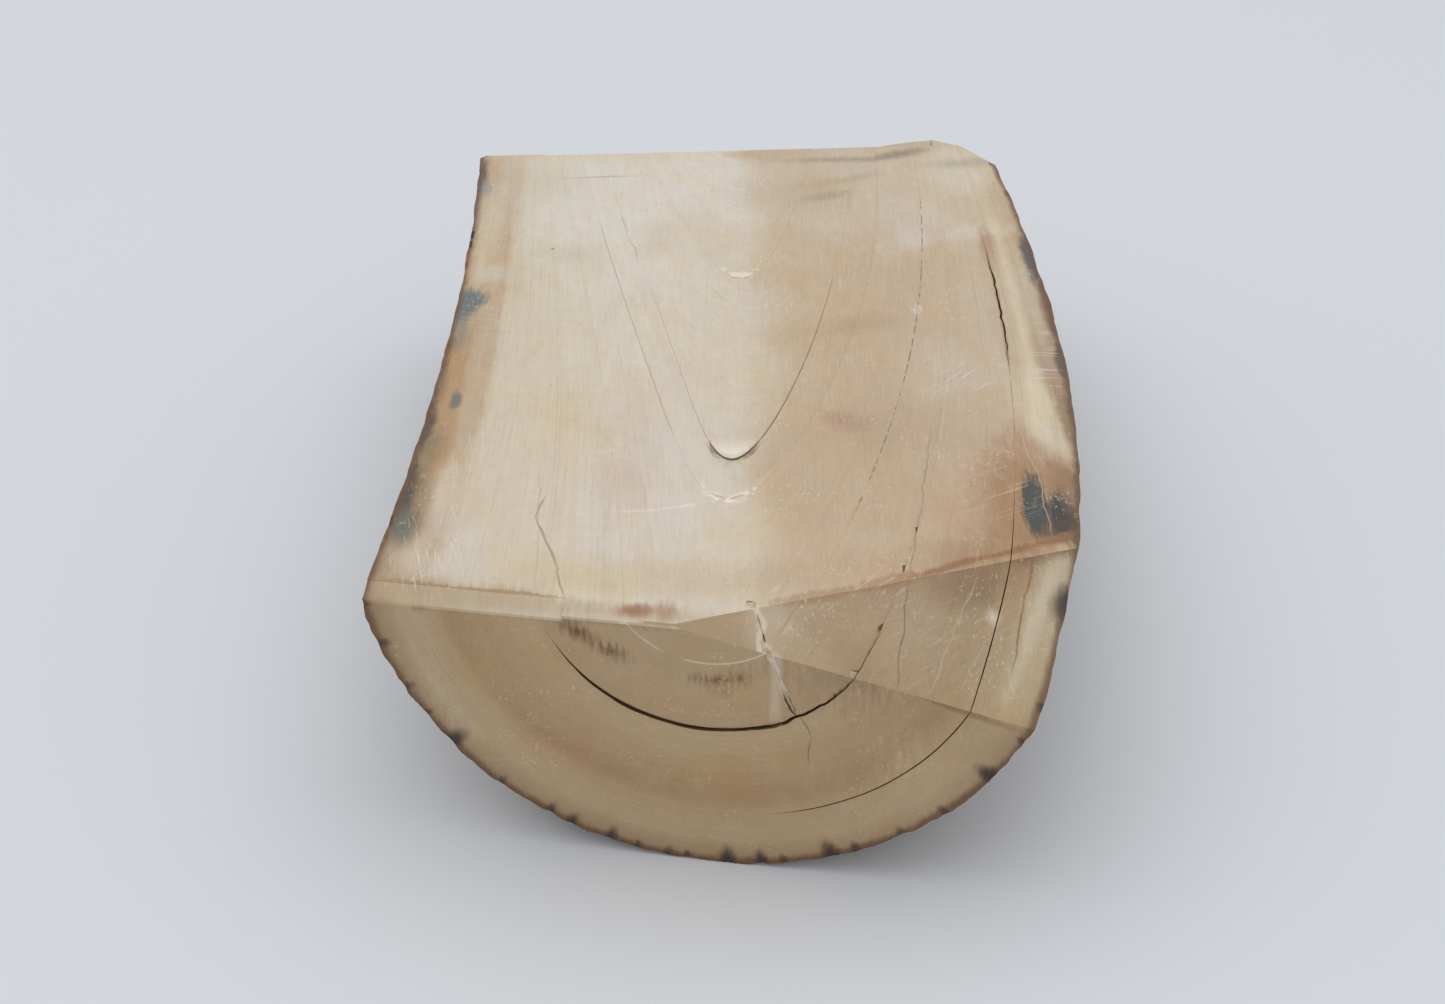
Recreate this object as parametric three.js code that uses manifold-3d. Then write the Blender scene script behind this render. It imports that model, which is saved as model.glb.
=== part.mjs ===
// A half-round block sawn from a fossil tusk, lying on its round side.
// A tusk grows as a stack of nested dentine cones inside a rind of cementum, its bark. The block is the
// lower part of a short length of tusk: one saw cut along it, one across each end, a facet off the front
// right corner and a shallow rebate on the front left arris. Age cracks part the cones, so each cone
// between two cracks is a solid of its own.
// Millimetres, +Z up, front towards -Y. The origin is the middle of the block's box, on the floor.

import * as THREE from 'three';
import { mergeVertices } from 'three/addons/utils/BufferGeometryUtils.js';
import Module from 'manifold-3d';

const wasm = await Module();
wasm.setup();

// The tusk: its radius, and the sideways bow of its axis, both fullest a little behind the middle.
const TUSK_RADIUS = 57;
const TAPER_FRONT = 3.7; // radius lost at the front end
const TAPER_BACK = 1.2;
const BOW_MIDDLE = 2.1; // sideways place of the axis at BOW_Y
const BOW_Y = 10;
const BOW_FRONT = 9.3; // how far the front end bends to the left of that
const BOW_BACK = 3.7;
const REACH = 96; // half the length over which taper and bow are stated

// The saw cuts.
const HEIGHT = 45.2; // the sawn top above the floor
const FRONT_LEFT = [-57.7, -79]; // the front cut passes through these two places in plan
const FRONT_MIDDLE = [-8.2, -86.9];
const BACK_LEFT = [-56, 85.5];
const BACK_RIGHT = [42, 93.5];
const CORNER_BACK = [47, 95]; // the broken back right corner
const CORNER_SIDE = [56.5, 77];
const FACET_POINTS = [[-6, -85.6, HEIGHT], [53.2, -63.6, HEIGHT], [35.7, -94, 33.2]];
const REBATE_WIDTH = 4.6; // front to back
const REBATE_END = -27.6; // the rebate runs from the left side to here
const REBATE_TILT = 9; // degrees

// The growth cones, about the tusk's axis: radius(y) = start + slope * (y + 88) + bend * (y + 88)^2.
// The innermost ones stand a little to the left of that axis.
const CONE_Y = -88;
const CEMENTUM_JOINT = { start: 46.2, slope: 0.037, bend: -0.0001, left: 0 };
const OUTER_CRACK = { start: 44, slope: 0.05, bend: -0.00015, left: 0 };
const HAIRLINE = { start: 38.5, slope: 0.07, bend: -0.0002, left: 0 };
const RING_CRACK = { start: 27, slope: 0.15, bend: -0.00035, left: 0 };
const INNER_RING = { start: 14.9, slope: 0.223, bend: -0.00046, left: 0 };
const SECOND_TONGUE = { start: 1.3, slope: 0.29, bend: -0.0006, left: 1.8 };
const TONGUE = { start: 3.2, slope: 0.169, bend: -0.0001, left: 2.3 };
const CORE_TIP = { start: -6.8, slope: 0.16, bend: 0, left: 2.2 };

const GAP = 0.3; // between neighbouring cones
const SEGMENTS = 40; // facets round the whole tusk, one of them flat on the floor
const STATIONS = 14;
const OVERRUN = 14; // the uncut tusk runs past the saw cuts by this much
const SMALLEST = 0.4;

const COLOURS = {
  bark: 0x8c7455,
  outer_dentine: 0xcdb995,
  rim_cone: 0xcbb691,
  middle_cone: 0xcfbc9b,
  ring_cone: 0xd2bf9f,
  inner_cone: 0xd5c4a6,
  tongue_shell: 0xd7c7ab,
  tongue: 0xd9caaf,
  core_tip: 0xdbccb2,
};

function tuskRadius(y) {
  const share = y / REACH;
  return TUSK_RADIUS - (y < 0 ? TAPER_FRONT : TAPER_BACK) * share * share;
}

function axisX(y) {
  const front = y < BOW_Y;
  const share = (y - BOW_Y) / (front ? REACH + BOW_Y : REACH - BOW_Y);
  return BOW_MIDDLE - (front ? BOW_FRONT : BOW_BACK) * share * share;
}

// The axis stands at the height that lays the lowest facet flat on the floor all along.
function axisZ(y) {
  return tuskRadius(y) * Math.cos(Math.PI / SEGMENTS);
}

function coneRadius(cone, y) {
  const run = y - CONE_Y;
  return Math.max(cone.start + cone.slope * run + cone.bend * run * run, SMALLEST);
}

// The whole tusk as the outermost shape that a layer can have.
const TUSK_SKIN = { radiusAt: tuskRadius, left: 0 };

// A growth cone in the same form.
function coneSkin(cone) {
  return { radiusAt: (y) => coneRadius(cone, y), left: cone.left };
}

// A three.js geometry as a manifold solid.
function solid(geometry) {
  const bare = geometry.clone();
  bare.deleteAttribute('normal');
  bare.deleteAttribute('uv');
  const merged = mergeVertices(bare, 1e-4);
  return new wasm.Manifold(new wasm.Mesh({
    numProp: 3,
    vertProperties: merged.attributes.position.array,
    triVerts: new Uint32Array(merged.index.array),
  }));
}

function geometryOf(manifold) {
  const mesh = manifold.getMesh();
  const geometry = new THREE.BufferGeometry();
  geometry.setAttribute('position', new THREE.BufferAttribute(mesh.vertProperties, 3));
  geometry.setIndex(new THREE.BufferAttribute(mesh.triVerts, 1));
  geometry.computeVertexNormals();
  return geometry;
}

// The round body inside a skin, grown by extra, turned about Y and then laid along the bowed axis.
function roundBody(skin, extra, overrun) {
  const end = REACH + overrun;
  const profile = [new THREE.Vector2(0, -end)];
  for (let i = 0; i <= STATIONS; i++) {
    const y = -end + (2 * end * i) / STATIONS;
    profile.push(new THREE.Vector2(skin.radiusAt(y) + extra, y));
  }
  profile.push(new THREE.Vector2(0, end));
  const geometry = new THREE.LatheGeometry(profile, SEGMENTS, Math.PI / SEGMENTS);
  const place = geometry.attributes.position;
  for (let i = 0; i < place.count; i++) {
    const y = place.getY(i);
    place.setX(i, place.getX(i) + axisX(y) - skin.left);
    place.setZ(i, place.getZ(i) + axisZ(y));
  }
  return solid(geometry);
}

// The place at x on the line through a and b, in plan.
function along(a, b, x) {
  return [x, a[1] + ((b[1] - a[1]) * (x - a[0])) / (b[0] - a[0])];
}

// A slab whose one face is the plane through p, q and r, lying on the side that the cut takes away.
function sawnAway(p, q, r, side) {
  const [a, b, c] = [p, q, r].map((v) => new THREE.Vector3(...v));
  const normal = b.clone().sub(a).cross(c.clone().sub(a)).normalize();
  if (normal.dot(side) < 0) normal.negate();
  const size = 4 * REACH;
  const slab = new THREE.BoxGeometry(size, size, size);
  const turn = new THREE.Quaternion().setFromUnitVectors(new THREE.Vector3(0, 0, 1), normal);
  slab.applyQuaternion(turn);
  slab.translate(...a.addScaledVector(normal, size / 2).toArray());
  return solid(slab);
}

// Everything that the saw leaves: the plan, less the facet and the rebate.
function sawnBlank() {
  const wide = 2 * TUSK_RADIUS;
  const plan = new THREE.Shape([
    along(FRONT_LEFT, FRONT_MIDDLE, -wide),
    along(FRONT_LEFT, FRONT_MIDDLE, wide),
    [wide, CORNER_SIDE[1] - 60],
    CORNER_SIDE,
    CORNER_BACK,
    along(BACK_LEFT, BACK_RIGHT, CORNER_BACK[0] - 4),
    along(BACK_LEFT, BACK_RIGHT, -wide),
  ].map((place) => new THREE.Vector2(...place)));
  const prism = new THREE.ExtrudeGeometry(plan, { depth: HEIGHT + 5, bevelEnabled: false });
  prism.translate(0, 0, -5);
  return solid(prism)
    .subtract(sawnAway(...FACET_POINTS, new THREE.Vector3(0, -1, 1)))
    .subtract(rebate());
}

// The wedge that the rebate takes off the front left arris: it slopes down towards the front.
function rebate() {
  const length = 2 * TUSK_RADIUS;
  const depth = 4 * REBATE_WIDTH;
  const wedge = new THREE.BoxGeometry(length, depth, depth);
  wedge.translate(-length / 2, -depth / 2, depth / 2);
  wedge.rotateX(THREE.MathUtils.degToRad(REBATE_TILT));
  const yaw = Math.atan2(FRONT_MIDDLE[1] - FRONT_LEFT[1], FRONT_MIDDLE[0] - FRONT_LEFT[0]);
  wedge.rotateZ(yaw);
  const [x, y] = along(FRONT_LEFT, FRONT_MIDDLE, REBATE_END);
  wedge.translate(x, y + REBATE_WIDTH, HEIGHT);
  return solid(wedge);
}

const blank = sawnBlank();
const block = new THREE.Group();

// One growth layer: inside the outer skin, outside the inner one, with the gap on its inner side.
function addLayer(name, outer, inner) {
  let layer = roundBody(outer, 0, OVERRUN);
  if (inner) {
    layer = layer.subtract(roundBody(inner, GAP, 2 * OVERRUN));
  }
  const material = new THREE.MeshStandardMaterial({
    color: COLOURS[name],
    roughness: name === 'bark' ? 0.8 : 0.45,
    metalness: 0,
  });
  const mesh = new THREE.Mesh(geometryOf(layer.intersect(blank)), material);
  mesh.name = name;
  block.add(mesh);
}

// From the bark to the heart, each named layer with the joint on its inner side.
const LAYERS = [
  ['bark', CEMENTUM_JOINT],
  ['outer_dentine', OUTER_CRACK],
  ['rim_cone', HAIRLINE],
  ['middle_cone', RING_CRACK],
  ['ring_cone', INNER_RING],
  ['inner_cone', SECOND_TONGUE],
  ['tongue_shell', TONGUE],
  ['tongue', CORE_TIP],
  ['core_tip', null],
];
let outer = TUSK_SKIN;
for (const [name, joint] of LAYERS) {
  const inner = joint && coneSkin(joint);
  addLayer(name, outer, inner);
  outer = inner;
}

// The origin is the middle of the box, on the floor.
const box = new THREE.Box3().setFromObject(block);
block.position.set(-(box.min.x + box.max.x) / 2, -(box.min.y + box.max.y) / 2, -box.min.z);

export default block;
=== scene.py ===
# A half-round block sawn from a fossil tusk, lying on its bark with its sawn face up.
# Metres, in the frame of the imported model: +Y along the tusk, front towards -Y, the floor at zero.

import math

import bmesh
import bpy
from mathutils import Matrix, Vector


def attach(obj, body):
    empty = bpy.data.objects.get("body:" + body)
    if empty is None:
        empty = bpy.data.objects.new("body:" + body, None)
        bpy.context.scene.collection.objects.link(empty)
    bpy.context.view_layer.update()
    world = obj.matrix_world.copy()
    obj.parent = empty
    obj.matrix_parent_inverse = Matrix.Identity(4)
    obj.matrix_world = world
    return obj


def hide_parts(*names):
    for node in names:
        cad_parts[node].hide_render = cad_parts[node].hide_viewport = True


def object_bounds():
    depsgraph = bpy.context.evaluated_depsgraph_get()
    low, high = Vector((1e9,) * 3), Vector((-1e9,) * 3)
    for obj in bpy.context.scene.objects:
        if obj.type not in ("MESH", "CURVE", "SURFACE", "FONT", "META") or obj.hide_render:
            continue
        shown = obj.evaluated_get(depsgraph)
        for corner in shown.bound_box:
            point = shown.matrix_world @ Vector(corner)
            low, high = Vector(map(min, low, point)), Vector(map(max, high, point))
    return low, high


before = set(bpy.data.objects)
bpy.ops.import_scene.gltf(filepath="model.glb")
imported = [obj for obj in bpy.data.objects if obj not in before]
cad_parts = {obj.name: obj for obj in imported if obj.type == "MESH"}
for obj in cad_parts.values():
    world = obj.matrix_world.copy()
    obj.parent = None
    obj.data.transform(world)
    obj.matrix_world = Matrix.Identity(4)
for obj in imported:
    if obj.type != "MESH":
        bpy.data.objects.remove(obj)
cad_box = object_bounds()

# ---------------------------------------------------------------------------------------------------
# The saw cuts. The block was sawn out of the tusk before it dried: one long cut, one across each end,
# a facet off the front right corner and a shallow rebate on the front left arris. All that the saw
# and the sanding took away is made here as one body, and every layer of the tusk is cut by it later.
# ---------------------------------------------------------------------------------------------------

MM = 0.001
SAWN_TOP = cad_box[1].z / MM
FRONT_LEFT = Vector((-57.7, -79.0, 0.0))
FRONT_TURN = -9.07  # degrees that the front cut is off square
FACET_RIDGE = Vector((-3.0, -83.4, SAWN_TOP))  # a place on the facet's upper edge
FACET_NORMAL = Vector((0.139, -0.432, 0.891))
REBATE_WIDTH = 4.6
REBATE_END = -27.6
REBATE_TILT = 6.0  # degrees
BACK_MIDDLE = Vector((0.0, 89.2, 0.0))
BACK_TURN = 3.6  # degrees
SAW_STEP = 1.4  # the spacing of the mesh on a sawn face
SLAB_WIDE = 134  # a slab of waste reaches past the block on every side
SLAB_LONG = 214
SLAB_TALL = 76
HALF_UP = 22  # about half the block's height, where the slabs of the end cuts are centred


def pick_nothing():
    bpy.ops.object.select_all(action="DESELECT")


def pick(piece):
    pick_nothing()
    piece.select_set(True)
    bpy.context.view_layer.objects.active = piece


def apply_modifier(piece, kind, **settings):
    pick(piece)
    modifier = piece.modifiers.new(kind.title(), kind)
    for name, value in settings.items():
        setattr(modifier, name, value)
    bpy.ops.object.modifier_apply(modifier=modifier.name)


def select_where(test):
    """In edit mode, selects the vertices that the test says yes to, and all that lies between them."""
    mesh = bmesh.from_edit_mesh(bpy.context.edit_object.data)
    for vertex in mesh.verts:
        vertex.select = test(vertex.co)
    mesh.select_flush_mode()
    bmesh.update_edit_mesh(bpy.context.edit_object.data)


def waves(name, size_mm, kind="CLOUDS", depth=2):
    """A texture of soft lumps about size_mm across, for pushing a surface in and out."""
    texture = bpy.data.textures.new(name, kind)
    texture.noise_scale = size_mm * MM
    texture.noise_depth = depth
    return texture


SAW_WAVES = waves("saw_waves", 22.0)


def saw_cut(name, wide, long, turn, place, wave=0.16, thick=75.0):
    """A slab whose underside is a cut: its faces wander by wave mm, as under a hand-held saw."""
    pick_nothing()
    bpy.ops.mesh.primitive_grid_add(
        x_subdivisions=round(wide / SAW_STEP),
        y_subdivisions=round(long / SAW_STEP),
        size=MM,
    )
    slab = bpy.context.object
    slab.name = name
    slab.scale = (wide, long, 1.0)
    slab.rotation_mode = "QUATERNION"
    slab.rotation_quaternion = turn
    slab.location = Vector(place) * MM
    bpy.ops.object.transform_apply(location=True, rotation=True, scale=True)
    if wave:
        apply_modifier(slab, "DISPLACE", texture=SAW_WAVES, texture_coords="LOCAL",
                       strength=wave * MM, mid_level=0.5)
    outward = turn @ Vector((0.0, 0.0, thick * MM))
    bpy.ops.object.mode_set(mode="EDIT")
    bpy.ops.mesh.select_all(action="SELECT")
    bpy.ops.mesh.extrude_region_move(TRANSFORM_OT_translate={"value": outward})
    bpy.ops.mesh.select_all(action="SELECT")
    bpy.ops.mesh.normals_make_consistent(inside=False)
    bpy.ops.object.mode_set(mode="OBJECT")
    return slab


def combine(piece, tool, operation, keep_tool=False):
    apply_modifier(piece, "BOOLEAN", operation=operation, object=tool, solver="MANIFOLD")
    if not keep_tool:
        bpy.data.objects.remove(tool)


def tilt_to(normal):
    return Vector((0.0, 0.0, 1.0)).rotation_difference(Vector(normal).normalized())


def turned(turn, vector):
    """A direction turned by turn degrees, seen from above."""
    return Matrix.Rotation(math.radians(turn), 3, "Z") @ Vector(vector)


def in_plan(start, turn, run):
    """The place run mm along a cut that starts at start and is turned by turn degrees, seen from above."""
    return start + turned(turn, (run, 0.0, 0.0))


# The long cut is the sawn top. The cut across the back end stopped short at the right and the last of
# it was broken off, which left a nub and a broken corner.
UP = Vector((0.0, 0.0, 1.0))
FRONT = turned(FRONT_TURN, (0, -1, 0))
BACK = turned(BACK_TURN, (0, 1, 0))
NUB = Vector((41.5, 92.0, 22.0))
NUB_DEPTH = 2.5

saw_waste = saw_cut("saw_waste", SLAB_WIDE, SLAB_LONG, tilt_to(UP), (0, 0, SAWN_TOP))
back_cut = saw_cut("back_cut", SLAB_WIDE, SLAB_TALL, tilt_to(BACK), BACK_MIDDLE + HALF_UP * UP)
bpy.ops.object.mode_set(mode="EDIT")
select_where(lambda place: abs(place.x - NUB.x * MM) < 4 * MM and place.y < 100 * MM)
bpy.ops.transform.translate(
    value=(0, NUB_DEPTH * MM, 0),
    use_proportional_edit=True,
    proportional_edit_falloff="SMOOTH",
    proportional_size=28 * MM,
)
bpy.ops.object.mode_set(mode="OBJECT")
combine(saw_waste, back_cut, "UNION")
for normal, place in (
    ((0.86, 0.51, 0.0), (50.6, 87.5, HALF_UP)),
    ((0.47, 0.88, 0.05), (46.6, 93.4, HALF_UP)),
):
    broken = saw_cut("broken_corner", 60, SLAB_TALL, tilt_to(normal), place, wave=1.6)
    combine(saw_waste, broken, "UNION")

# The cut across the front end, and the facet sanded off its right corner.
front_cut = saw_cut("front_cut", SLAB_WIDE, SLAB_TALL, tilt_to(FRONT),
                    in_plan(FRONT_LEFT, FRONT_TURN, 50) + HALF_UP * UP)
combine(saw_waste, front_cut, "UNION")
facet_cut = saw_cut("facet_cut", 160, 70, tilt_to(FACET_NORMAL), FACET_RIDGE, wave=0.5)
combine(saw_waste, facet_cut, "UNION")

# The rebate is a second pass of the saw that stopped at REBATE_END. It steps down and falls forwards.
REBATE_DROP = 0.03
PASS_WIDE = 80  # the slab of that pass
PASS_LONG = 24
rebate_run = (REBATE_END - FRONT_LEFT.x) / math.cos(math.radians(FRONT_TURN))
rebate_middle = in_plan(FRONT_LEFT, FRONT_TURN, rebate_run - PASS_WIDE / 2)
rebate_turn = (
    Matrix.Rotation(math.radians(FRONT_TURN), 3, "Z") @ Matrix.Rotation(math.radians(REBATE_TILT), 3, "X")
).to_quaternion()
rebate_lean = turned(FRONT_TURN, (0, REBATE_WIDTH - PASS_LONG / 2, 0))
rebate_fall = -(REBATE_DROP + PASS_LONG / 2 * math.sin(math.radians(REBATE_TILT)))
rebate_cut = saw_cut("rebate_cut", PASS_WIDE, PASS_LONG, rebate_turn,
                     rebate_middle + rebate_lean + (SAWN_TOP + rebate_fall) * UP, wave=0.1)
combine(saw_waste, rebate_cut, "UNION")

# The arrises were eased by a touch of the sander. Each one takes the tip off an edge of the block.
EASED = 0.28  # how deep each pass of the sander goes
rebate_low = REBATE_DROP + REBATE_WIDTH * math.tan(math.radians(REBATE_TILT))
for lean in (0.55, 1.6):
    eased = [
        (FRONT * lean + UP, in_plan(FRONT_LEFT, FRONT_TURN, rebate_run / 2) + (SAWN_TOP - rebate_low) * UP,
         rebate_run - 0.4),
        (FRONT * lean + UP, in_plan(FRONT_LEFT, FRONT_TURN, rebate_run + 12) + SAWN_TOP * UP, 24),
        (BACK * lean + UP, BACK_MIDDLE + SAWN_TOP * UP, 84),
    ]
    for normal, place, wide in eased:
        normal = normal.normalized()
        pass_of_sander = saw_cut("eased", wide, 8, tilt_to(normal), place - EASED * normal, wave=0.25)
        combine(saw_waste, pass_of_sander, "UNION")


# The block lies on a line along its lowest side, which is worn flat.
floor_cut = saw_cut("floor_cut", SLAB_WIDE, SLAB_LONG, tilt_to(-UP), (0, 0, 0), wave=0.0)
combine(saw_waste, floor_cut, "UNION")


# ---------------------------------------------------------------------------------------------------
# The bark: the cementum that grew round the tusk, 6 to 8 mm thick, ridged along its length and stained
# brown and blue-black by the ground it lay in. It is one shell, grown fast to the dentine inside it.
# ---------------------------------------------------------------------------------------------------

TUSK_RADIUS = 57.0
TAPER_FRONT = 3.7
TAPER_BACK = 1.2
BOW_MIDDLE = 2.1  # how far right the axis stands at BOW_Y
BOW_Y = 10.0
BOW_FRONT = 9.3  # how far the front end bends to the left of that
BOW_BACK = 3.7
REACH = 96.0  # half the length over which the taper and the bow are stated
CONE_Y = -88.0  # where the growth cones' first radius is stated
BAR_END = 104.0
BARK_SIDES = 144
RINGS = 28
RIDGE_DEPTH = 0.75
LUMP_DEPTH = 1.1
GROOVE_DEPTH = 0.24
# Root-like grooves along the bark, as degrees from straight down, and how dark and deep each one is.
GROOVES = (
    (-79, 0.6), (-71, 0.7), (-62, 0.6), (-56, 0.5), (-49.5, 0.95), (-38.4, 0.6),
    (-28.6, 0.7), (-24.4, 0.8), (-17.4, 0.8), (-12.5, 0.6), (-7.1, 0.6), (-3.9, 0.5),
    (3.1, 1.0), (9.1, 0.85), (13.0, 0.5), (21.5, 1.0), (26.0, 0.6),
    (34.8, 0.6), (43.7, 0.5), (55.0, 1.0), (64.0, 0.5), (75.4, 0.9),
)


def tusk_radius(y):
    share = y / REACH
    return TUSK_RADIUS - (TAPER_FRONT if y < 0 else TAPER_BACK) * share * share


def axis_x(y):
    if y < BOW_Y:
        share = (y - BOW_Y) / (REACH + BOW_Y)
        return BOW_MIDDLE - BOW_FRONT * share * share
    share = (y - BOW_Y) / (REACH - BOW_Y)
    return BOW_MIDDLE - BOW_BACK * share * share


def cone_radius(cone, y):
    run = y - CONE_Y
    return max(cone["start"] + cone["slope"] * run + cone["bend"] * run * run, 0.4)


def grown_bar(name, radius_at, left=0.0, sides=96):
    """A round bar along the tusk's bowed axis: at each place y its radius is radius_at(y)."""
    pick_nothing()
    bpy.ops.mesh.primitive_cylinder_add(vertices=sides, radius=MM, depth=2 * BAR_END * MM,
                                        end_fill_type="NOTHING", rotation=(math.pi / 2, 0, 0))
    bar = bpy.context.object
    bar.name = name
    bpy.ops.object.transform_apply(location=True, rotation=True, scale=True)
    bpy.ops.object.mode_set(mode="EDIT")
    bpy.ops.mesh.select_all(action="DESELECT")
    bpy.ops.mesh.select_mode(type="EDGE")
    mesh = bmesh.from_edit_mesh(bar.data)
    for edge in mesh.edges:
        edge.select = edge.calc_length() > BAR_END * MM
    bpy.ops.mesh.subdivide(number_cuts=RINGS - 1)
    bpy.ops.mesh.select_mode(type="VERT")
    for ring in range(RINGS + 1):
        y = -BAR_END + 2 * BAR_END * ring / RINGS
        radius = radius_at(y)
        select_where(lambda place: abs(place.y - y * MM) < 0.1 * MM)
        bpy.ops.transform.resize(value=(radius, 1, radius), center_override=(0, y * MM, 0))
        bpy.ops.transform.translate(value=((axis_x(y) - left) * MM, 0, tusk_radius(y) * MM))
    bpy.ops.object.mode_set(mode="OBJECT")
    apply_modifier(bar, "SUBSURF", levels=2, render_levels=2)
    bpy.ops.object.mode_set(mode="EDIT")
    bpy.ops.mesh.select_all(action="SELECT")
    bpy.ops.mesh.fill_holes(sides=0)
    bpy.ops.mesh.select_all(action="SELECT")
    bpy.ops.mesh.normals_make_consistent(inside=False)
    bpy.ops.object.mode_set(mode="OBJECT")
    return bar


def weigh(piece, group_name, weight_at):
    """Gives each vertex the weight that weight_at(its angle, y in mm) says, from 0 to 1."""
    group = piece.vertex_groups.new(name=group_name)
    for vertex in piece.data.vertices:
        x, y, z = vertex.co / MM
        angle = math.degrees(math.atan2(x - axis_x(y), tusk_radius(y) - z))
        group.add([vertex.index], weight_at(angle, y), "REPLACE")


def push(piece, depth, **settings):
    """Moves the surface outwards by up to depth mm: over a group, with a texture, or all over."""
    apply_modifier(piece, "DISPLACE", strength=depth * MM, **settings)


def push_stretched(piece, depth, texture, stretch):
    """The same with the texture stretched along the tusk, as grain is."""
    pick_nothing()
    bpy.ops.object.empty_add(scale=(1, stretch, 1))
    lie = bpy.context.object
    lie.scale = (1, stretch, 1)
    bpy.context.view_layer.update()
    push(piece, depth, texture=texture, texture_coords="OBJECT", texture_coords_object=lie, mid_level=0.5)
    bpy.data.objects.remove(lie)


def rise(value, low, high):
    """Goes smoothly from 0 at low to 1 at high."""
    share = min(max((value - low) / (high - low), 0.0), 1.0)
    return share * share * (3 - 2 * share)


def groove_weight(angle, y):
    wander = 1.2 * math.sin(y / 17.0) + 0.8 * math.sin(y / 7.3 + angle / 20)
    fade = 0.65 + 0.35 * math.sin(y / 11.0 + angle)
    return fade * max(deep * math.exp(-(((angle - wander * rise(y, -85, -60)) - place) / 0.8) ** 2)
                      for place, deep in GROOVES)


def copy_of(piece, name):
    pick(piece)
    bpy.ops.object.duplicate()
    bpy.context.object.name = name
    return bpy.context.object


def grow_inside(outer, name, cone, gap=0.012, opened=0.0, radius_at=None, sides=96, wander=0.25, jag=0.0):
    """Grows the next cone, hollows outer to fit it and saws outer off.
    The two lie gap mm apart, and up to opened mm more where the cone's group "open" says so."""
    body = grown_bar(name, radius_at or (lambda y: cone_radius(cone, y)), cone["left"], sides)
    push_stretched(body, wander, waves(name + "_wander", 16.0), 2.5)
    if jag:
        weigh(body, "jag", cone["jag"])
        push(body, jag, texture=waves(name + "_jag", 3.0, depth=3), texture_coords="LOCAL",
             vertex_group="jag", mid_level=0.5)
    hollow = copy_of(body, "hollow")
    push(hollow, gap, mid_level=0.0)
    if opened:
        weigh(hollow, "open", cone["open"])
        push(hollow, opened, vertex_group="open", texture=waves(name + "_lips", 5.0, depth=3),
             texture_coords="LOCAL", mid_level=-0.6)
    combine(outer, hollow, "DIFFERENCE")
    saw_off(outer)
    return body


def saw_off(piece):
    combine(piece, saw_waste, "DIFFERENCE", keep_tool=True)
    pick(piece)
    bpy.ops.object.shade_smooth_by_angle(angle=math.radians(22))


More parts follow.
